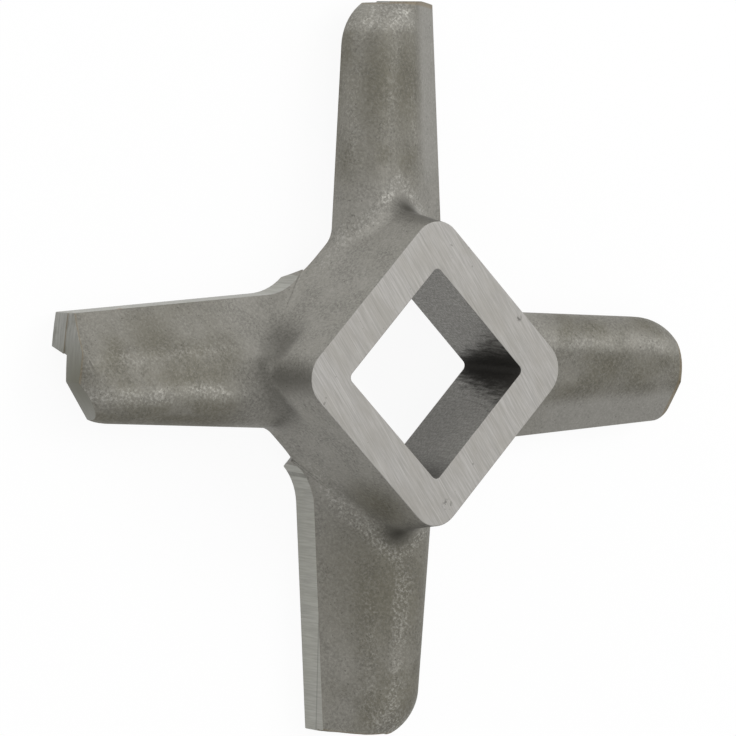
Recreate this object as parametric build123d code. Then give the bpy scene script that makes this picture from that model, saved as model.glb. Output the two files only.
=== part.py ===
from build123d import *
import math
import os

# A four-armed knife for a meat grinder, cast in one piece and ground where it works.
# Millimetres. Z = 0 is the cutting plane, which runs on the hole plate, and +Z points to the hub face.
# The origin is on the axis of rotation. The flats of the square drive face X and Y, so the arms lie
# on the diagonals. Seen from the hub face, the knife turns clockwise.

# Overall
tip_diameter = 62.2
overall_height = 11.2
arm_count = 4

# Square drive
drive_square = 12.7
drive_corner_radius = 0.5

# Hub: a square boss that widens towards the back
hub_face_square = 19.6
hub_face_corner_radius = 2.6
hub_draft = 8.6

# Back of the casting, and the round recess in it that clears the plate's bush
back_height = 2.2
recess_height = 3.1
recess_diameter = 20.0

# Arm, as cast. An offset is a side's distance from the arm's centre line at the tip circle, where the
# crown's height on the centre line and the height of upright wall left under its rolled edge are taken too.
# The block that rounds the shoulder is lifted by a hair, so that no two of its faces fall together
leading_offset = 5.53
leading_taper = 3.0
trailing_offset = 3.4
trailing_taper = 3.4
crown_height = 5.3
crown_fall = 1.3
crown_tilt = 12.0
front_slope = 31.0
shoulder_radius = 3.0
shoulder_lift = 0.001
tip_wall_height = 0.55
root_fillet_radius = 2.0

# Cast end of the arm, which slants past the tip circle
tip_stock = 0.6
tip_slant = 25.0
tip_corner_radius = 4.5

# Ground faces
leading_face_height = 2.7
root_wheel_radius = 5.0
land_width = 2.8
land_step_draft = 16.0
land_end_draft = 24.0
land_end_inset = 0.2
turned_height = 1.9
tip_step = 0.1

# One arm had more taken off its trailing tip corner by hand
dressed_arm = 2
dressed_angle = 32.7
dressed_distance = 26.12

# Another arm was cast longer, and its leading tip corner was rounded off
long_arm = 0
long_extra = 0.2
long_stock = 1.6
long_slant = 14.0
long_tip_corner_radius = 6.0
long_leading_corner_radius = 1.3

# Share of its length that an edge must rise by to count as upright
upright_share = 0.9

# Worked out from the sizes above
tip_radius = tip_diameter / 2
arm_pitch = 360 / arm_count
hub_back_apothem = hub_face_square / 2 + (overall_height - back_height) * math.tan(math.radians(hub_draft))


def along_arm(turn):
    """Turns what lies along X on to this arm, counted from the one between X and Y."""
    return Rot(0, 0, arm_pitch * (turn + 0.5))


def leading_side(radius):
    """Offset of the ground leading face from the arm's centre line."""
    return leading_offset + (tip_radius - radius) * math.tan(math.radians(leading_taper))


def crown(radius, offset):
    """Height of the arm's crown, which falls towards the tip and leans down to the leading side."""
    fall = (tip_radius - radius) * math.tan(math.radians(crown_fall))
    return crown_height + fall - offset * math.tan(math.radians(crown_tilt))


def crown_plane():
    """The plane of the arm's crown, facing up."""
    fall = math.tan(math.radians(crown_fall))
    tilt = math.tan(math.radians(crown_tilt))
    return Plane(origin=(tip_radius, 0, crown_height), z_dir=(fall, -tilt, 1))


def front_plane():
    """The plane of the arm's sloping front, facing up and to the leading side."""
    taper = math.tan(math.radians(leading_taper))
    slope = math.tan(math.radians(front_slope))
    return Plane(origin=(tip_radius, -leading_offset, leading_face_height), z_dir=(taper * slope, -slope, 1))


def shoulder_section(radius):
    """Section of a block that lies just clear of crown and front and rounds the ridge between them."""
    across = Plane(origin=(radius, 0, shoulder_lift), x_dir=(0, -1, 0), z_dir=(-1, 0, 0))
    slope = math.tan(math.radians(front_slope))
    rise = leading_face_height + leading_side(radius) * slope - crown(radius, 0)
    shoulder = rise / (slope - math.tan(math.radians(crown_tilt)))
    ridge = (shoulder, crown(radius, shoulder))
    foot = crown(radius, shoulder) - (tip_radius - shoulder) * slope
    outline = Polyline(
        (tip_radius, foot),
        ridge,
        (-tip_radius, crown(radius, -tip_radius)),
        (-tip_radius, foot),
        close=True,
    )
    section = make_face(outline)
    return across * fillet(section.vertices().sort_by_distance(ridge)[0], shoulder_radius)


def edge_roll_radius():
    """Radius of the crown's rolled edge, from the height it has above the upright wall at the tip."""
    height = crown(tip_radius, -trailing_offset) - back_height - tip_wall_height
    return height * math.tan(math.radians((90 - crown_tilt) / 2))


def cast_arm(stock, slant, corner_radius):
    """An arm along +X as it leaves the mould: crown with a rolled outer edge, and sloping front."""
    side = Pos(tip_radius, trailing_offset) * Rot(0, 0, -trailing_taper)
    plan = side * Rectangle(tip_diameter, tip_radius, align=(Align.CENTER, Align.MAX))
    end = Plane(origin=(tip_radius + stock, 0, 0), z_dir=(1, 0, 0)).rotated((0, 0, slant))
    arm = split(extrude(plan, overall_height), bisect_by=end, keep=Keep.BOTTOM)
    tip_corner = arm.edges().filter_by(Axis.Z).sort_by_distance((tip_radius, trailing_offset, 0))[0]
    arm = split(fillet(tip_corner, corner_radius), bisect_by=crown_plane(), keep=Keep.BOTTOM)
    arm = fillet(arm.edges().filter_by(GeomType.ELLIPSE), edge_roll_radius())
    arm = split(arm, bisect_by=front_plane(), keep=Keep.BOTTOM)
    arm = arm & loft([shoulder_section(0), shoulder_section(tip_diameter)], ruled=True)
    return split(arm, bisect_by=Plane.XY.offset(back_height), keep=Keep.TOP)


def hub():
    """The square boss, drafted from its ground face down to the back of the casting."""
    face = RectangleRounded(hub_face_square, hub_face_square, hub_face_corner_radius)
    return extrude(Plane.XY.offset(overall_height) * face, -(overall_height - back_height), taper=-hub_draft)


def casting():
    """Hub and arms in one, with a fillet where each arm grows out of the hub's corner."""
    body = hub()
    arms = [cast_arm(tip_stock, tip_slant, tip_corner_radius)] * arm_count
    arms[long_arm] = cast_arm(long_stock, long_slant, long_tip_corner_radius)
    for turn, arm in enumerate(arms):
        placed = along_arm(turn) * arm
        joined = body + placed
        root = new_edges(body, placed, combined=joined).filter_by(lambda edge: edge.center().Z > back_height)
        body = fillet(root, root_fillet_radius)
    return body


def wheel_centre():
    """Distance along the arm of the wheel's centre when its rim touches the hub's side at the back."""
    taper = math.radians(leading_taper)
    diagonal = hub_back_apothem * math.sqrt(2)
    reach = diagonal + root_wheel_radius * (math.sqrt(2) - 1 / math.cos(taper)) - leading_side(0)
    return reach / (1 - math.tan(taper))


def leading_edge():
    """Location on the leading edge opposite the wheel's centre: X runs out along the edge, Y off the arm."""
    start = wheel_centre()
    return Pos(start, -leading_side(start)) * Rot(0, 0, leading_taper)


def ground_away():
    """All that the wheel takes off the leading side: a straight face that ends in the wheel's own radius."""
    length = tip_diameter
    path = Pos(-root_wheel_radius, 0) * Rectangle(length, length, align=(Align.MIN, Align.MAX))
    corner = path.vertices().sort_by_distance((-root_wheel_radius, 0))[0]
    path = leading_edge() * fillet(corner, root_wheel_radius)
    return extrude(path, overall_height)


def land_outline(height):
    """Outline of the raised cutting land at this height: its step and its inner end are drafted."""
    step = land_width + height * math.tan(math.radians(land_step_draft))
    lean = (height * math.tan(math.radians(land_end_draft)) - land_end_inset) * math.sqrt(2)
    inner = (leading_side(0) - step - lean) / (1 + math.tan(math.radians(leading_taper)))
    outline = Polyline(
        (inner, -inner - lean),
        (tip_diameter, step - leading_side(tip_diameter)),
        (tip_diameter, -tip_diameter - lean),
        close=True,
    )
    return Pos(0, 0, height) * make_face(outline)


def land():
    """The strip behind the leading edge that runs on the plate, before the leading face is ground."""
    return loft([land_outline(0), land_outline(back_height)], ruled=True)


def turned_tips():
    """The round bar that the tips are turned to, a little smaller above the lands, and the long arm's end."""
    lands = Cylinder(tip_radius, turned_height, align=(Align.CENTER, Align.CENTER, Align.MIN))
    rest = Cylinder(tip_radius - tip_step, overall_height, align=(Align.CENTER, Align.CENTER, Align.MIN))
    end = Cylinder(tip_radius + long_extra, overall_height, align=(Align.CENTER, Align.CENTER, Align.MIN))
    side = Box(tip_diameter, tip_diameter, overall_height, align=(Align.MIN, Align.CENTER, Align.MIN))
    return lands + rest + (end & along_arm(long_arm) * side)


def upright(edge):
    """Whether an edge stands on end, as those between two walls do."""
    return abs((edge @ 1 - edge @ 0).Z) > edge.length * upright_share


def rounded_corner(body):
    """The body with the long arm's leading tip corner rounded."""
    place = along_arm(long_arm) * Pos(tip_radius, -leading_offset)
    corner = body.edges().filter_by(upright).sort_by_distance(place.position)[0]
    return fillet(corner, long_leading_corner_radius)


def drive_bore():
    """The square through the hub, and the round recess round it in the back."""
    square = RectangleRounded(drive_square, drive_square, drive_corner_radius)
    recess = Cylinder(recess_diameter / 2, recess_height, align=(Align.CENTER, Align.CENTER, Align.MIN))
    return extrude(square, overall_height) + recess


def dressed_off():
    """What the hand grinder takes off the trailing tip corner of the dressed arm."""
    away = Rot(0, 0, dressed_angle) * Pos(dressed_distance, 0)
    return away * Box(tip_radius, tip_diameter, overall_height, align=(Align.MIN, Align.CENTER, Align.MIN))


def knife():
    """The finished knife: lands raised, leading faces ground, tips turned and the drive cut."""
    body = casting()
    for turn in range(arm_count):
        body = body + along_arm(turn) * land()
        body = body - along_arm(turn) * ground_away()
    body = rounded_corner(body & turned_tips())
    body = body - along_arm(dressed_arm) * dressed_off()
    return body - drive_bore()


os.makedirs("parts", exist_ok=True)
grinder_knife = knife()
grinder_knife.label = "grinder_knife"
export_step(grinder_knife, "parts/grinder_knife.step")
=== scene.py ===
# %% [markdown]
# # A meat grinder knife in cast steel
#
# The knife is one casting: a square hub with four tapered arms. It was cast, blasted with shot, and then
# ground only where it works: on the hub face, along the leading faces and on the cutting lands underneath.
# The solid comes from the CAD model. This lesson gives it worn edges and a finish for each way in which
# its surface was made, and then lights it softly on a pale floor.

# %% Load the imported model
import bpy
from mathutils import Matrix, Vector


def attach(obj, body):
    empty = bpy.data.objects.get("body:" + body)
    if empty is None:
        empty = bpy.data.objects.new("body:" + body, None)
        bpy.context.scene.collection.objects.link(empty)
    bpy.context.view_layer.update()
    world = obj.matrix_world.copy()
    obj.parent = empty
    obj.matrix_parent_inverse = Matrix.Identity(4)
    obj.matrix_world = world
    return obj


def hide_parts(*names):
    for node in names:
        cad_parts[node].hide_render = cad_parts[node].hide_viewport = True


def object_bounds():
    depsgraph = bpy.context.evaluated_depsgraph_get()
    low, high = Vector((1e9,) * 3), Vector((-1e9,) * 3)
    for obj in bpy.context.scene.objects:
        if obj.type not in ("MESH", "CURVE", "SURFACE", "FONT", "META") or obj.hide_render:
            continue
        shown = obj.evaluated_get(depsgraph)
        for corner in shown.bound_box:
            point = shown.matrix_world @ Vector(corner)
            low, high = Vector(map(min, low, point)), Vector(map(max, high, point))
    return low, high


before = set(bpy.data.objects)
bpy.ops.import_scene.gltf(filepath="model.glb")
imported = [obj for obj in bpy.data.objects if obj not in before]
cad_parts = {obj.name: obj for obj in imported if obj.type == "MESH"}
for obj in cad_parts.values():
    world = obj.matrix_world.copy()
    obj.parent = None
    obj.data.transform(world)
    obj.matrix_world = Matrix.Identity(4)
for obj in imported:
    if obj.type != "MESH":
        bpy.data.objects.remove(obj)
cad_box = [list(corner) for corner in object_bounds()]

import math

import bpy
from mathutils import Matrix, Vector

MM = 0.001


def in_mm(box):
    """The two corners of a box in mm, for printing."""
    return [[round(v / MM, 3) for v in corner] for corner in box]


print("CAD box in mm:", in_mm(cad_box))

# %% [markdown]
# ## The casting
#
# The CAD mesh is loose triangles, so a copy of it is merged before anything else is done to it. Slivers
# along the curved edges are merged and the flat faces are joined up, so that a bevel has room to work.
# The copy stands for the CAD node from here on. The original stays as it is, for collision.

# %% Copy the CAD mesh and merge it
SLIVER = 0.03 * MM
FLAT = math.radians(0.3)

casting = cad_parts["grinder_knife"]
knife = bpy.data.objects.new("grinder_knife_finished", casting.data.copy())
bpy.context.scene.collection.objects.link(knife)
knife.data.materials.clear()
bpy.ops.object.select_all(action="DESELECT")
knife.select_set(True)
bpy.context.view_layer.objects.active = knife
bpy.ops.object.mode_set(mode="EDIT")
bpy.ops.mesh.select_all(action="SELECT")
bpy.ops.mesh.customdata_custom_splitnormals_clear()
bpy.ops.mesh.remove_doubles(threshold=SLIVER)
bpy.ops.mesh.dissolve_limited(angle_limit=FLAT)
bpy.ops.object.mode_set(mode="OBJECT")
print("merged casting:", len(knife.data.vertices), "points,", len(knife.data.polygons), "faces")

# %% [markdown]
# ## Which face was made how
#
# The finishes follow the way each face was made, and that can be read from where the face lies and which
# way it looks. Level faces at the top and the bottom were ground. Upright faces are the drive's walls
# inside the hub, the leading faces, which start in the cutting plane, and the turned tips. One arm has an
# end that was dressed off later by a flat cut, and it gets the finish of the tips. All the rest is cast
# skin. Each face is sorted before its edges are worn, because a bevel gives its new faces the finish of
# their neighbours.

# %% Sort the faces by how they were made
HUB_FACE_HEIGHT = cad_box[1][2]
DRIVE_REACH = 6.36 * MM
RECESS_REACH = 10.1 * MM
LEADING_FACE_TOP = 2.8 * MM
TURNED_REACH = 30.9 * MM
CLOSE = 0.01 * MM
LEVEL = 0.999
UPRIGHT = 0.05
DRESSED_ANGLE = math.radians(257.7)
DRESSED = Vector((math.cos(DRESSED_ANGLE), math.sin(DRESSED_ANGLE), 0))

FINISHES = ["cast_skin", "ground_face", "drive_wall", "leading_face", "turned_tip", "cutting_land"]


def how_made(face):
    """The finish of one face of the casting, from its place and its normal."""
    corners = [knife.data.vertices[i].co for i in face.vertices]
    lowest = min(c.z for c in corners)
    highest = max(c.z for c in corners)
    nearest = min(c.xy.length for c in corners)
    if face.normal.z > LEVEL and lowest > HUB_FACE_HEIGHT - CLOSE:
        return "ground_face"
    if face.normal.z < -LEVEL and highest < CLOSE:
        return "cutting_land"
    if abs(face.normal.z) > UPRIGHT:
        return "cast_skin"
    if max(max(abs(c.x), abs(c.y)) for c in corners) < DRIVE_REACH:
        return "drive_wall"
    if nearest > TURNED_REACH or face.normal.dot(DRESSED) > LEVEL:
        return "turned_tip"
    if nearest > RECESS_REACH and lowest < CLOSE and highest < LEADING_FACE_TOP:
        return "leading_face"
    return "cast_skin"


for finish in FINISHES:
    knife.data.materials.append(bpy.data.materials.new(finish))
count = dict.fromkeys(FINISHES, 0)
for face in knife.data.polygons:
    made = how_made(face)
    face.material_index = FINISHES.index(made)
    count[made] += 1
print("faces by finish:", count)

# %% [markdown]
# ## Worn edges
#
# No edge of a used steel tool is perfectly sharp. A narrow bevel along every hard edge catches the light
# as a thin line. The weighted normals keep the flat faces flat where they meet the bevel.

# %% Wear the edges
EDGE_WEAR = 0.07 * MM
HARD_EDGE = math.radians(28)

wear = knife.modifiers.new("edge wear", "BEVEL")
wear.width = EDGE_WEAR
wear.segments = 2
wear.limit_method = "ANGLE"
wear.angle_limit = HARD_EDGE
wear.use_clamp_overlap = False
bpy.ops.object.modifier_apply(modifier=wear.name)
bpy.ops.object.shade_smooth()
level_normals = knife.modifiers.new("level normals", "WEIGHTED_NORMAL")
level_normals.mode = "FACE_AREA"
level_normals.weight = 100
bpy.ops.object.modifier_apply(modifier=level_normals.name)
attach(knife, "root")
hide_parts("grinder_knife")
print("worn casting:", len(knife.data.vertices), "points,", len(knife.data.polygons), "faces")

# %% [markdown]
# ## Tools for the finishes: nodes
#
# Every finish is a node tree on the same plan: a colour and a roughness that vary by the same patterns,
# and a bump for the relief. Building such a tree in code soon grows long, so small helpers add a node,
# link it and give back its output. Each finish below then reads as a list of what is on its surface.
# These first ones work on the tree, its shader and its colours.


# %% Helpers for nodes and colours
class Tree:
    """One material's node tree, with helpers that add nodes and fill in the shader."""

    def __init__(self, name):
        self.material = bpy.data.materials[name]
        self.material.use_nodes = True
        self.tree = self.material.node_tree
        self.shader = self.tree.nodes["Principled BSDF"]
        self.place = self.tree.nodes.new("ShaderNodeTexCoord").outputs["Object"]

    def node(self, kind, **inputs):
        """Adds a node, with values or links for its inputs by their names."""
        made = self.tree.nodes.new(kind)
        for name, value in inputs.items():
            self.put(made.inputs[name.replace("_", " ")], value)
        return made

    def put(self, socket, value):
        """Links a socket to a pattern, or sets it to a plain value."""
        if isinstance(value, bpy.types.NodeSocket):
            self.tree.links.new(value, socket)
        else:
            socket.default_value = value

    def blend(self, share, a, b):
        """Colour a where share is 0 and colour b where it is 1."""
        mix = self.node("ShaderNodeMix")
        mix.data_type = "RGBA"
        self.put(mix.inputs["Factor"], share)
        self.put(mix.inputs["A"], a)
        self.put(mix.inputs["B"], b)
        return mix.outputs["Result"]

    def relief(self, height, depth, strength, below=None):
        """Bump from a height pattern, whose full range is this deep."""
        bump = self.node("ShaderNodeBump", Height=height, Distance=depth, Strength=strength)
        if below is not None:
            self.put(bump.inputs["Normal"], below)
        return bump.outputs["Normal"]

    def surface(self, colour, metallic, roughness, relief):
        """Gives the shader its four inputs."""
        self.put(self.shader.inputs["Base Color"], colour)
        self.shader.inputs["Metallic"].default_value = metallic
        self.put(self.shader.inputs["Roughness"], roughness)
        self.put(self.shader.inputs["Normal"], relief)
        print(self.material.name + ":", len(self.tree.nodes), "nodes")


def steel(red, green, blue):
    """A colour for a socket, from linear shares of red, green and blue."""
    return (red, green, blue, 1.0)


def helper_names(kind):
    """The helpers that a class adds, for printing."""
    return [name for name in vars(kind) if not name.startswith("_")]


print("helpers for nodes:", helper_names(Tree))

# %% [markdown]
# ## Tools for the finishes: patterns
#
# A pattern is a number at each point of the surface. All patterns start from Object coordinates in metres,
# so a noise's scale is one over its size. They are added and multiplied like plain numbers. Soft ends
# keep a pattern from stopping at a hard line, which wear and dirt seldom do.


# %% Helpers for patterns
class Patterns(Tree):
    """A node tree that can also do arithmetic on patterns."""

    def calculate(self, operation, *values):
        """Arithmetic on numbers and patterns, from left to right."""
        result = values[0]
        for value in values[1:]:
            step = self.node("ShaderNodeMath")
            step.operation = operation
            self.put(step.inputs[0], result)
            self.put(step.inputs[1], value)
            result = step.outputs["Value"]
        return result

    def plus(self, *values):
        return self.calculate("ADD", *values)

    def minus(self, *values):
        return self.calculate("SUBTRACT", *values)

    def times(self, *values):
        return self.calculate("MULTIPLY", *values)

    def most(self, *values):
        return self.calculate("MAXIMUM", *values)

    def single(self, operation, value):
        """Arithmetic on one number, such as its cosine."""
        step = self.node("ShaderNodeMath")
        step.operation = operation
        self.put(step.inputs[0], value)
        return step.outputs["Value"]

    def spread(self, value, low, high, to_low=0.0, to_high=1.0):
        """Maps low..high of a value to another range, with soft ends."""
        reach = self.node("ShaderNodeMapRange", Value=value)
        reach.interpolation_type = "SMOOTHSTEP"
        reach.inputs["From Min"].default_value = low
        reach.inputs["From Max"].default_value = high
        reach.inputs["To Min"].default_value = to_low
        reach.inputs["To Max"].default_value = to_high
        return reach.outputs["Result"]

    def near(self, value, place, reach):
        """A band: 1 where the value is at this place, and down to 0 at this reach on either side."""
        off = self.single("ABSOLUTE", self.minus(value, place))
        return self.spread(off, 0, reach, 1, 0)

    def except_on(self, mask, left):
        """1 outside a mask, and down to the share that is left where the mask is full."""
        return self.spread(mask, 0, 1, 1, left)

    def noise(self, size, detail=2.0, rough=0.5, where=None):
        """Cloudy noise with spots of this size, from 0 to 1."""
        cloud = self.node("ShaderNodeTexNoise", Scale=1 / size, Detail=detail, Roughness=rough)
        self.put(cloud.inputs["Vector"], where or self.place)
        return cloud.outputs["Fac"]

    def turned(self, angle, stretch):
        """Object coordinates turned about Z and squeezed along the axes."""
        turn = self.node("ShaderNodeMapping", Vector=self.place)
        turn.vector_type = "POINT"
        turn.inputs["Rotation"].default_value = (0, 0, angle)
        squeeze = self.node("ShaderNodeVectorMath")
        squeeze.operation = "MULTIPLY"
        self.put(squeeze.inputs[0], turn.outputs["Vector"])
        squeeze.inputs[1].default_value = stretch
        return squeeze.outputs["Vector"]


print("helpers for patterns:", helper_names(Patterns))

# %% [markdown]
# ## Tools for the finishes: places on the knife
#
# The last helpers know the shape of the knife. One folds the four arms onto each other, so a band along
# an arm is written once. One picks out the quarter of the plan in which a single arm lies, because no two
# arms have worn alike. One makes a round spot at a point, for what is in one place only.

# %% Helpers for places
QUARTER_BLEND = 1 * MM


class Finish(Patterns):
    """A node tree that also knows where the arms of the knife are."""

    def axes(self):
        """Separate X, Y and Z of the place."""
        split = self.node("ShaderNodeSeparateXYZ", Vector=self.place)
        return split.outputs["X"], split.outputs["Y"], split.outputs["Z"]

    def spot(self, point, reach):
        """A round spot: 1 at the point, and down to 0 at this reach from it, all in mm."""
        away = self.node("ShaderNodeVectorMath")
        away.operation = "DISTANCE"
        self.put(away.inputs[0], self.place)
        away.inputs[1].default_value = [v * MM for v in point]
        return self.spread(away.outputs["Value"], 0, reach * MM, 1, 0)

    def quarter(self, number):
        """1 in one quarter of the plan, counted 1 to 4 from the X axis to the Y axis and on."""
        x, y, z = self.axes()
        sides = []
        for value, is_positive in ((x, number in (1, 4)), (y, number in (1, 2))):
            if is_positive:
                sides.append(self.spread(value, 0, QUARTER_BLEND))
            else:
                sides.append(self.spread(value, -QUARTER_BLEND, 0, 1, 0))
        return self.times(*sides)

    def arm(self):
        """Distance along the nearest arm, across it to the trailing side, and from the axis."""
        x, y, z = self.axes()
        flat = self.node("ShaderNodeCombineXYZ", X=x, Y=y)
        length = self.node("ShaderNodeVectorMath")
        length.operation = "LENGTH"
        self.put(length.inputs[0], flat.outputs["Vector"])
        reach = length.outputs["Value"]
        wrap = self.node("ShaderNodeMath")
        wrap.operation = "WRAP"
        self.put(wrap.inputs[0], self.calculate("ARCTAN2", y, x))
        wrap.inputs[1].default_value = math.pi / 2
        wrap.inputs[2].default_value = 0
        angle = self.minus(wrap.outputs["Value"], math.pi / 4)
        along = self.times(reach, self.single("COSINE", angle))
        across = self.times(reach, self.single("SINE", angle))
        return along, across, reach


print("helpers for places:", helper_names(Finish))

# %% [markdown]
# ## Cast skin: patterns and places
#
# Shot blasting leaves the casting matt and mid grey, with a fine grain. Four noises give it, from the
# grain to broad clouds. The other patterns follow the shape. The ridges run along the tapered arms, so
# their bands are measured across the arm, once parallel to its trailing edge and once parallel to the
# shoulder between crown and front slope. A slow noise makes the bands wander a little, because hands and
# meat don't wear steel along a ruler. The arms are counted like the quarters of the plan: the first is
# the long arm at 45 degrees, and the third, at 225 degrees, has the dressed end.

# %% Patterns and places on the cast skin
TIP_RADIUS = 31.1 * MM
TRAILING_TAPER = 0.0594
SHOULDER_TAPER = 0.023
WANDER = 2.6 * MM

skin = Finish("cast_skin")
x, y, z = skin.axes()
along, across, reach = skin.arm()
first_arm, second_arm, third_arm, fourth_arm = (skin.quarter(number) for number in (1, 2, 3, 4))

grain = skin.noise(0.22 * MM, detail=3, rough=0.75)
grit = skin.noise(0.24 * MM, detail=3, rough=0.7)
waves = skin.noise(1.8 * MM)
clouds = skin.noise(4.5 * MM, detail=3)

from_tip = skin.minus(TIP_RADIUS, along)
wander = skin.times(skin.minus(skin.noise(9 * MM), 0.5), WANDER)
across_back = skin.minus(across, skin.times(from_tip, TRAILING_TAPER))
across_front = skin.plus(across, skin.times(from_tip, SHOULDER_TAPER))
square = skin.most(skin.single("ABSOLUTE", x), skin.single("ABSOLUTE", y))
corner_sum = skin.plus(x, y)
on_arm = skin.spread(along, 13 * MM, 19 * MM)
print("cast skin so far:", len(skin.tree.nodes), "nodes")

# %% [markdown]
# ## Cast skin: painted highlights
#
# Bright specks are painted thickest where the ridges catch the light, as painted highlights: on the crest,
# where the crown turns down into the rolled trailing edge, on the shoulder, on the roll round the tip, and
# at the roots where the arms meet the hub. The crest is also painted a lighter grey, as painted sheen. The
# arms differ. On the second and the fourth the crest's band lies nearer the middle. On the second it is
# weaker, with another band at the foot of the roll, and on the fourth it gets hardly any painted sheen.
# The first arm has the fewest specks, and the third has none at its root.

# %% Painted highlights and their specks
CREST = 0.9 * MM
CREST_INWARD = 1 * MM
ROLL_FOOT = 3.0 * MM
SHOULDER = -2.0 * MM
ROOT = 11.4 * MM

# painted highlights: bands where the ridges catch the light, for bright specks and a lighter grey
inward = skin.times(skin.plus(second_arm, fourth_arm), CREST_INWARD)
crest = skin.near(skin.plus(across_back, wander, inward), CREST, 1.4 * MM)
roll_foot = skin.times(skin.near(skin.plus(across_back, wander), ROLL_FOOT, 1 * MM), second_arm)
crest = skin.times(skin.most(crest, roll_foot), skin.except_on(second_arm, 0.4))
shoulder = skin.times(skin.near(skin.plus(across_front, wander), SHOULDER, 1.2 * MM), 0.45)
tip_roll = skin.times(skin.spread(along, 28 * MM, 29.4 * MM, 0, 0.9),
                      skin.spread(across, -3 * MM, -1 * MM),
                      skin.except_on(third_arm, 0.35))
broken = skin.spread(skin.noise(3 * MM, detail=1), 0.3, 0.6, 0.35, 1)
# painted highlight: the bright specks are painted thickest on these bands and at the roots
painted_highlight = skin.times(skin.most(crest, shoulder, tip_roll), broken, on_arm,
                       skin.except_on(first_arm, 0.45))
root = skin.times(skin.near(square, ROOT, 1.1 * MM),
                  skin.spread(corner_sum, -13 * MM, -9 * MM),
                  skin.spread(z, 2.6 * MM, 3.6 * MM))
painted_highlight = skin.most(painted_highlight, root)
# specks of the blasted grain everywhere, and painted glints where the painted highlights lie
specks_and_glints = skin.times(skin.spread(grit, 0.42, 0.70), skin.spread(painted_highlight, 0, 1, 0.25, 1.0))
# painted sheen: the crest, and the roll round the second arm's tip, painted a lighter grey as a highlight
painted_sheen = skin.times(crest, on_arm, skin.spread(fourth_arm, 0, 1, 0.35, 0.05))
painted_sheen = skin.most(painted_sheen, skin.times(tip_roll, second_arm, 0.4))
print("with burnished places:", len(skin.tree.nodes), "nodes")

# %% [markdown]
# ## Cast skin: film and painted shade
#
# An olive brown film of oil and oxide has stayed in broad patches. Its colour is also painted on the
# trailing roll of the third and the fourth arm as painted shade, where the roll turns away from the light.
# The film is thin on the front slopes, which the meat wipes clean. Almost black painted shade darkens the
# corners between hub and arm, the hollow round the root of the third arm, and the rounded corners of the
# hub, where shade falls. Spots are given as a point and a reach in mm.

# %% Film and painted shade
FILM_SPOTS = [((12.5, -14, 5), 13), ((16.3, 15.8, 5.4), 5), ((-17.5, 17, 5.5), 11),
              ((-19.5, -14, 4), 6), ((5.5, -10.3, 8), 5.5)]
# painted shade: spots in the corners between hub and arm
ROOT_SHADE = [(-9.4, 9.9, 6.5), (9.4, -10.0, 6.3), (9.8, 10.2, 6.3)]
ROOT_SHADE_REACH = 2.2
HOLLOW = 10.6 * MM
HOLLOW_ROUNDING = 3.4 * MM
HOLLOW_RAGGED = 1.6 * MM

wiped = skin.times(skin.spread(across_front, -4 * MM, -2 * MM, 1, 0), on_arm,
                   skin.spread(y, -16 * MM, 10 * MM, 0.25, 1))
film_and_shade = skin.times(skin.spread(clouds, 0.38, 0.64, 0.45, 0.9), skin.spread(on_arm, 0, 1, 0.2, 1))
film_and_shade = skin.most(film_and_shade, *[skin.spot(place, size) for place, size in FILM_SPOTS])
# painted shade: the trailing roll of the third and fourth arm, turned away from the light, gets the film's
# dark colour
painted_roll_shade = skin.times(skin.spread(across_back, 1.6 * MM, 2.8 * MM),
                     skin.spread(y, -9 * MM, -3 * MM, 1, 0), on_arm)
film_and_shade = skin.times(skin.most(film_and_shade, painted_roll_shade), skin.except_on(wiped, 0.1))

# painted shade in the hollow round the root of the third arm
ring = skin.most(square, skin.minus(along, HOLLOW_ROUNDING))
ring = skin.plus(ring, skin.times(skin.minus(skin.noise(3 * MM), 0.5), HOLLOW_RAGGED))
hollow = skin.times(skin.near(ring, HOLLOW, 1.3 * MM),
                    skin.spread(z, 3 * MM, 5 * MM), skin.spread(z, 7 * MM, 8 * MM, 1, 0),
                    skin.spread(corner_sum, -17 * MM, -14 * MM, 0.65, 0))
# painted shade down the rounded corners of the hub
hub_corner = skin.times(skin.near(across, 0, 2.2 * MM), skin.spread(along, 14 * MM, 15 * MM, 1, 0),
                        skin.spread(z, 5.4 * MM, 7 * MM, 0, 0.7))
# all the painted shade in corners and hollows, almost black
painted_shade = skin.most(hollow, hub_corner, *[skin.spot(place, ROOT_SHADE_REACH) for place in ROOT_SHADE])
print("with film and dirt:", len(skin.tree.nodes), "nodes")

# %% [markdown]
# ## Cast skin: colour, roughness and relief
#
# The colour is laid on in layers: bare steel, the film with the painted shade on the roll, the wiped front
# slopes, the painted sheen, the dark of the grain, faint light squiggles where shot has grazed the skin,
# the bright specks with their painted highlights, the painted shade in the corners, a few pits, and a thin
# rusty fringe at the tips. Each layer is blended over the ones before it by a pattern. The surface is only
# half metallic, because blasted and oiled skin scatters light about as paint does. Specks are smoother,
# and the painted shade is dull.

# %% Finish of the cast skin
BARE = steel(0.29, 0.281, 0.254)
# olive brown film, also used as painted shade on the roll
FILM_AND_SHADE_BROWN = steel(0.133, 0.124, 0.094)
WIPED = steel(0.22, 0.214, 0.196)
# lighter grey of the painted sheen on the crest
SHEEN_GREY = steel(0.37, 0.361, 0.33)
GRAIN_DARK = steel(0.06, 0.057, 0.048)
GRAZED = steel(0.40, 0.395, 0.36)
# bright specks of the grain, and painted glints on the ridges
SPECK_AND_GLINT = steel(0.52, 0.51, 0.47)
# almost black painted shade in the corners
SHADE_BLACK = steel(0.045, 0.042, 0.034)
PIT = steel(0.04, 0.037, 0.03)
RUST = steel(0.20, 0.145, 0.07)

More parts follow.
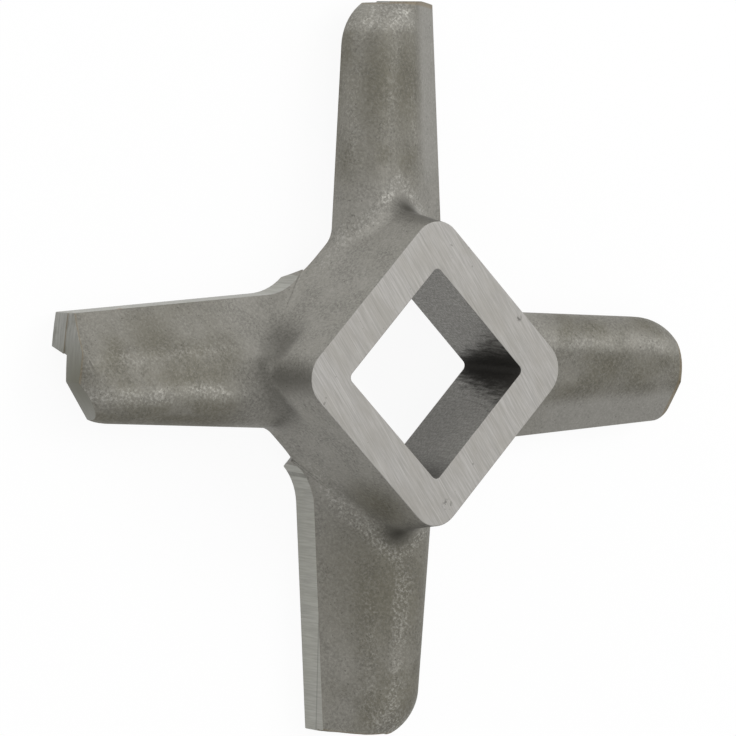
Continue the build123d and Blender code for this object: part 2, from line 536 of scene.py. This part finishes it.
rough_patch = skin.times(skin.spread(skin.noise(2.5 * MM), 0.35, 0.65, 0.5, 1.0),
                         skin.except_on(wiped, 0.45))
grain_dark = skin.times(skin.spread(grain, 0.3, 0.7, 0.55, 0), rough_patch)
squiggle = skin.times(skin.near(skin.noise(0.7 * MM), 0.5, 0.05),
                      skin.spread(clouds, 0.45, 0.6, 0, 0.10))
pits = skin.spread(skin.noise(0.25 * MM, detail=1), 0.25, 0.30, 0.45, 0)
fringe = skin.spread(reach, 30.8 * MM, 31.0 * MM, 0, 0.45)

colour = skin.blend(film_and_shade, BARE, FILM_AND_SHADE_BROWN)
for share, layer in ((skin.times(wiped, 0.4), WIPED), (painted_sheen, SHEEN_GREY), (grain_dark, GRAIN_DARK),
                     (squiggle, GRAZED), (skin.times(specks_and_glints, 0.38), SPECK_AND_GLINT),
                     (skin.times(painted_shade, 0.85), SHADE_BLACK), (pits, PIT), (fringe, RUST)):
    colour = skin.blend(share, colour, layer)

smooth = skin.plus(specks_and_glints, skin.times(wiped, 0.3))
rough = skin.most(skin.spread(smooth, 0, 1, 0.62, 0.40), skin.times(painted_shade, 0.95))
dents = skin.relief(skin.plus(grain, grit), depth=0.04 * MM, strength=0.6)
swells = skin.relief(waves, depth=0.1 * MM, strength=0.35, below=dents)
skin.surface(colour, metallic=0.5, roughness=rough, relief=swells)

# %% [markdown]
# ## Ground hub face
#
# A surface grinder leaves fine parallel lines across the whole face, a little off the X axis. Noise that
# is drawn out long along the grinding direction gives them, in the colour, the roughness and the relief.
# A second, longer noise adds a few light and dark scratches, and clouds keep the grey from being even.
# There are small pits all over, and two places near the rim have dark nicks.

# %% Finish of the ground hub face
GRINDING_ANGLE = math.radians(10.3)
LINE_STRETCH = (0.045, 1, 1)
SCRATCH_STRETCH = (0.012, 1, 1)
CLOUD_STRETCH = (0.5, 1, 1)
NICKS = [((8.6, -7.0, 11.2), 0.7), ((2.9, 9.2, 11.2), 0.4)]
GROUND_DARK = steel(0.288, 0.28, 0.264)
GROUND_LIGHT = steel(0.364, 0.353, 0.336)
GROUND_CLOUD = steel(0.275, 0.263, 0.236)
SCRATCH_LIGHT = steel(0.50, 0.49, 0.465)
SCRATCH_DARK = steel(0.14, 0.136, 0.125)
NICK = steel(0.06, 0.055, 0.05)

ground = Finish("ground_face")
lines = ground.noise(0.12 * MM, detail=3, rough=0.7,
                     where=ground.turned(GRINDING_ANGLE, LINE_STRETCH))
scratches = ground.noise(0.16 * MM, detail=1,
                         where=ground.turned(GRINDING_ANGLE, SCRATCH_STRETCH))
clouds = ground.noise(2 * MM, detail=4, rough=0.65,
                      where=ground.turned(GRINDING_ANGLE, CLOUD_STRETCH))
pits = ground.spread(ground.noise(0.5 * MM, detail=1), 0.19, 0.24, 0.4, 0)
nicks = ground.times(ground.plus(*[ground.spot(place, size) for place, size in NICKS]),
                     ground.spread(ground.noise(0.3 * MM), 0.5, 0.6))

grey = ground.blend(ground.spread(lines, 0.3, 0.7), GROUND_DARK, GROUND_LIGHT)
for share, layer in ((ground.spread(clouds, 0.3, 0.7, 0, 0.6), GROUND_CLOUD),
                     (ground.spread(scratches, 0.62, 0.74, 0, 0.22), SCRATCH_LIGHT),
                     (ground.spread(scratches, 0.26, 0.38, 0.16, 0), SCRATCH_DARK),
                     (ground.most(pits, nicks), NICK)):
    grey = ground.blend(share, grey, layer)
ground.surface(grey, metallic=0.6, roughness=ground.spread(lines, 0.3, 0.7, 0.55, 0.45),
               relief=ground.relief(lines, depth=0.008 * MM, strength=0.5))

# %% [markdown]
# ## Drive walls
#
# The square was broached, so its walls have fine lines along Z, and a fine grit between them. One corner
# is painted almost black as painted shade, where it lies in shade and has nothing bright to reflect. The
# shade is narrow at the cutting plane and widens towards the hub face, so the distance from the corner is
# divided by a width that grows with the height, and streaky noise frays its edge. The next corner has a
# faint painted shade near the top only, and the walls are painted a little darker towards it, as painted
# shade.

# %% Finish of the drive walls
SQUARE = 12.7 * MM
BROACH_STRETCH = (1, 1, 0.12)
STREAK_STRETCH = (1, 1, 0.2)
SHADE_WIDTH = 0.5 * MM
SHADE_WIDENING = 0.36
WALL_DARK = steel(0.28, 0.272, 0.252)
WALL_LIGHT = steel(0.38, 0.371, 0.348)
WALL_SHADE = steel(0.10, 0.097, 0.085)
CORNER_SHADE_BLACK = steel(0.013, 0.011, 0.008)

drive = Finish("drive_wall")
x, y, z = drive.axes()
lines = drive.noise(0.14 * MM, detail=3, rough=0.65, where=drive.turned(0, BROACH_STRETCH))
grit = drive.noise(0.22 * MM, detail=3, rough=0.7)
streaks = drive.noise(0.3 * MM, detail=3, rough=0.65, where=drive.turned(0, STREAK_STRETCH))

# painted shade: the corner at plus X and plus Y, almost black
from_corner = drive.minus(SQUARE, drive.plus(x, y))
frayed = drive.times(from_corner, drive.spread(streaks, 0.25, 0.75, 0.65, 1.25))
width = drive.plus(drive.times(z, SHADE_WIDENING), SHADE_WIDTH)
corner_shade = drive.spread(drive.calculate("DIVIDE", frayed, width), 0.25, 1.15, 0.93, 0)
# painted shade: the next corner near the top, and the walls darker towards it
past_diagonal = drive.minus(x, y)
faint_corner_shade = drive.times(drive.spread(drive.minus(SQUARE, past_diagonal), 0, 3.5 * MM, 0.5, 0),
                          drive.spread(z, 3 * MM, 10 * MM))
corner_shade = drive.most(corner_shade, faint_corner_shade)

grey = drive.blend(drive.spread(lines, 0.3, 0.7), WALL_DARK, WALL_LIGHT)
# grit darkens at random; past the diagonal the walls get painted shade, then the painted corner shade
for share, layer in ((drive.spread(grit, 0.3, 0.7, 0.7, 0), WALL_SHADE),
                     (drive.spread(past_diagonal, 0, 6 * MM, 0, 0.35), WALL_SHADE),
                     (corner_shade, CORNER_SHADE_BLACK)):
    grey = drive.blend(share, grey, layer)
drive.surface(grey, metallic=0.55, roughness=drive.spread(corner_shade, 0, 1, 0.5, 0.8),
              relief=drive.relief(drive.plus(lines, grit), depth=0.02 * MM, strength=0.5))

# %% [markdown]
# ## Leading faces
#
# The leading faces are ground at right angles to the arm, so their fine lines run up and down. The face
# is light and a little green. Along the fourth arm the wheel left a narrow second facet below the front
# slope, with a dark line between the two, and the third arm has one small spot of rust.

# %% Finish of the leading faces
LINE_SQUEEZE = 0.05
FACET_HEIGHT = 2.7 * MM
FACET_START = 21.3 * MM
FACET_SLOPE = 0.112
RUST_SPOT = ((-22.5, -14.3, 2.6), 0.4)
LEADING_DARK = steel(0.255, 0.253, 0.227)
LEADING_LIGHT = steel(0.325, 0.322, 0.292)
LEADING_CLOUD = steel(0.33, 0.33, 0.28)
FACET = steel(0.27, 0.265, 0.24)
FACET_EDGE = steel(0.06, 0.058, 0.05)
RUST_RED = steel(0.22, 0.10, 0.03)

leading = Finish("leading_face")
height = leading.axes()[2]
along = leading.arm()[0]
upright = leading.node("ShaderNodeCombineXYZ", X=along, Y=leading.times(height, LINE_SQUEEZE))
lines = leading.noise(0.16 * MM, detail=3, rough=0.65, where=upright.outputs["Vector"])
clouds = leading.noise(2.5 * MM)
facet = leading.plus(height, leading.times(leading.minus(along, FACET_START), FACET_SLOPE))
fourth_arm = leading.quarter(4)
strip = leading.times(leading.spread(facet, 2.66 * MM, 2.72 * MM), fourth_arm, 0.35)
dark_line = leading.times(leading.near(facet, FACET_HEIGHT, 0.12 * MM), fourth_arm, 0.45)

grey = leading.blend(leading.spread(lines, 0.3, 0.7), LEADING_DARK, LEADING_LIGHT)
for share, layer in ((leading.spread(clouds, 0.35, 0.65, 0, 0.2), LEADING_CLOUD), (strip, FACET),
                     (dark_line, FACET_EDGE), (leading.spot(*RUST_SPOT), RUST_RED)):
    grey = leading.blend(share, grey, layer)
leading.surface(grey, metallic=0.55, roughness=leading.spread(lines, 0.3, 0.7, 0.5, 0.4),
                relief=leading.relief(lines, depth=0.012 * MM, strength=0.5))

# %% [markdown]
# ## Turned tips
#
# The tips were turned to one diameter, so their lines run round the axis. The same olive film as on the
# cast skin has stayed on them in patches. The dressed end of the third arm, which faces away from the
# light, is painted dark with the film's colour as painted shade.

# %% Finish of the turned tips
DRESSED_END_SHADE = ((-22, -22.5, 4), 6)
TIP_DARK = steel(0.20, 0.2, 0.185)
TIP_LIGHT = steel(0.31, 0.308, 0.285)
TIP_FILM_AND_SHADE = steel(0.125, 0.122, 0.094)

tips = Finish("turned_tip")
height = tips.axes()[2]
across = tips.arm()[1]
rounds = tips.node("ShaderNodeCombineXYZ", X=tips.times(across, LINE_SQUEEZE), Z=height)
lines = tips.noise(0.15 * MM, detail=3, rough=0.65, where=rounds.outputs["Vector"])
film_and_shade = tips.spread(tips.noise(2 * MM, detail=3), 0.4, 0.6, 0, 0.5)
# painted shade: the dressed end of the third arm, in the film's dark colour
film_and_shade = tips.most(film_and_shade, tips.spot(*DRESSED_END_SHADE))
grey = tips.blend(tips.spread(lines, 0.3, 0.7), TIP_DARK, TIP_LIGHT)
tips.surface(tips.blend(film_and_shade, grey, TIP_FILM_AND_SHADE), metallic=0.6, roughness=0.5,
             relief=tips.relief(lines, depth=0.015 * MM, strength=0.5))

# %% [markdown]
# ## Cutting lands
#
# The lands underneath were lapped on a flat plate, which leaves them brighter than all else, with fine
# lines in every direction. Two noises that are drawn out in different directions cross each other.

# %% Finish of the cutting lands
LAPPING_ANGLES = (0.6, -0.5)
LAPPING_STRETCH = (0.03, 1, 1)
LAND_DARK = steel(0.40, 0.395, 0.38)
LAND_LIGHT = steel(0.52, 0.515, 0.5)

lands = Finish("cutting_land")
crossing = [lands.noise(0.1 * MM, detail=3, rough=0.7, where=lands.turned(angle, LAPPING_STRETCH))
            for angle in LAPPING_ANGLES]
lines = lands.times(lands.plus(*crossing), 0.5)
lands.surface(lands.blend(lands.spread(lines, 0.35, 0.65), LAND_DARK, LAND_LIGHT), metallic=0.75,
              roughness=lands.spread(lines, 0.35, 0.65, 0.42, 0.32),
              relief=lands.relief(lines, depth=0.006 * MM, strength=0.5))

# %% [markdown]
# ## Floor
#
# The knife lies on its cutting lands on a plain pale sheet. The sheet is matt for light that falls on it,
# so the knife keeps its soft shadow and gets some light from below. Seen straight from the camera, in a
# reflection or through glass it also glows, which makes it almost white without a brighter lamp. It lies
# a hair below the lands, so the two flat surfaces don't share one plane. It is staging and isn't part of
# the model.

# %% Lay the floor
FLOOR_SIZE = 4.0
FLOOR_GAP = 0.02 * MM
GLOW_SHARE = 0.93
PALE = (0.85, 0.85, 0.85, 1)
PALE_ROUGHNESS = 0.9

bpy.ops.object.select_all(action="DESELECT")
bpy.ops.mesh.primitive_plane_add(size=FLOOR_SIZE, location=(0, 0, -FLOOR_GAP))
floor = bpy.context.object
floor.name = "floor"
sheet = bpy.data.materials.new("pale_floor")
sheet.use_nodes = True
nodes = sheet.node_tree.nodes
links = sheet.node_tree.links
matt = nodes["Principled BSDF"]
matt.inputs["Base Color"].default_value = PALE
matt.inputs["Roughness"].default_value = PALE_ROUGHNESS
glow = nodes.new("ShaderNodeEmission")
glow.inputs["Strength"].default_value = 1.0
mix = nodes.new("ShaderNodeMixShader")
rays = nodes.new("ShaderNodeLightPath")
seen = rays.outputs["Is Camera Ray"]
for ray in ("Is Glossy Ray", "Is Transmission Ray"):
    either = nodes.new("ShaderNodeMath")
    either.operation = "MAXIMUM"
    links.new(seen, either.inputs[0])
    links.new(rays.outputs[ray], either.inputs[1])
    seen = either.outputs["Value"]
share = nodes.new("ShaderNodeMath")
share.operation = "MULTIPLY"
share.inputs[1].default_value = GLOW_SHARE
links.new(seen, share.inputs[0])
links.new(share.outputs["Value"], mix.inputs["Fac"])
links.new(matt.outputs["BSDF"], mix.inputs[1])
links.new(glow.outputs["Emission"], mix.inputs[2])
links.new(mix.outputs["Shader"], nodes["Material Output"].inputs["Surface"])
floor.data.materials.append(sheet)
print("floor:", FLOOR_SIZE, "m wide,", round(FLOOR_GAP / MM, 3), "mm below the lands")

# %% [markdown]
# ## Light
#
# A white world lights the steel from all round, because bare metal looks black where it has nothing pale
# to reflect. Three large square lamps shape it. The key light stands behind and to the right, and brings
# out the grain of the ridges, so its place is given by the camera's own right and up. The side light is
# low on the left, for the flanks of the hub. The top light lifts the ground face above the rest. All
# three are weak, so that colours come out about as written.

# %% Light the scene
RIGHT = Vector((0.57371, 0.57942, 0.57890))
UP = Vector((-0.68176, 0.72955, -0.05457))
WHITE = (1, 1, 1, 1)
WORLD_STRENGTH = 0.75

world = bpy.data.worlds.new("studio")
bpy.context.scene.world = world
world.use_nodes = True
sky = world.node_tree.nodes["Background"]
sky.inputs["Color"].default_value = WHITE
sky.inputs["Strength"].default_value = WORLD_STRENGTH


def softbox(name, towards, distance, size, power):
    """A square lamp in this direction from the knife, which looks back at it."""
    light = bpy.data.lights.new(name, "AREA")
    light.shape = "SQUARE"
    light.size = size
    light.energy = power
    lamp = bpy.data.objects.new(name, light)
    bpy.context.scene.collection.objects.link(lamp)
    towards = towards.normalized()
    lamp.location = towards * distance
    lamp.rotation_euler = towards.to_track_quat("Z", "Y").to_euler()
    print(name, "at", [round(v, 2) for v in lamp.location], "m,", power, "W")


TOWARDS_KEY = UP * 0.42 + RIGHT * 0.85 + Vector((0, 0, 0.4))
TOWARDS_SIDE = Vector((-1.0, 0.1, 0.1))
TOWARDS_TOP = Vector((0, 0, 1))

softbox("key_light", TOWARDS_KEY, distance=0.6, size=0.35, power=1.4)
softbox("side_light", TOWARDS_SIDE, distance=0.6, size=0.4, power=1.7)
softbox("top_light", TOWARDS_TOP, distance=0.8, size=0.8, power=0.6)

# %% [markdown]
# ## Camera
#
# The camera looks down at the hub from the front left, turned so that the arms point almost level and
# upright in the frame. It stands half a metre off with a long lens, so the far arm is hardly smaller than
# the near one. There is no blur, because the whole knife is sharp.

# %% Place the camera
CAMERA_PLACE = Vector((-219.09, -175.42, 393.94)) * MM
FORWARD = Vector((0.45395, 0.36337, -0.81357))
LENS = 277.64
SENSOR_WIDTH = 36
NEAREST = 0.01

camera_data = bpy.data.cameras.new("camera")
camera_data.lens = LENS
camera_data.sensor_width = SENSOR_WIDTH
camera_data.clip_start = NEAREST
camera = bpy.data.objects.new("camera", camera_data)
bpy.context.scene.collection.objects.link(camera)
turn = Matrix((RIGHT, UP, -FORWARD)).transposed()
camera.matrix_world = Matrix.Translation(CAMERA_PLACE) @ turn.to_4x4()
bpy.context.scene.camera = camera
bpy.context.scene.view_settings.view_transform = "Standard"
print("camera:", round(CAMERA_PLACE.length, 3), "m from the knife, lens", LENS, "mm")

# %% [markdown]
# ## The CAD box
#
# Worn edges only take material away, so the finished knife should stay inside the CAD box, printed once
# more here.

# %% Print the CAD box
print("CAD box in mm:   ", in_mm(cad_box))
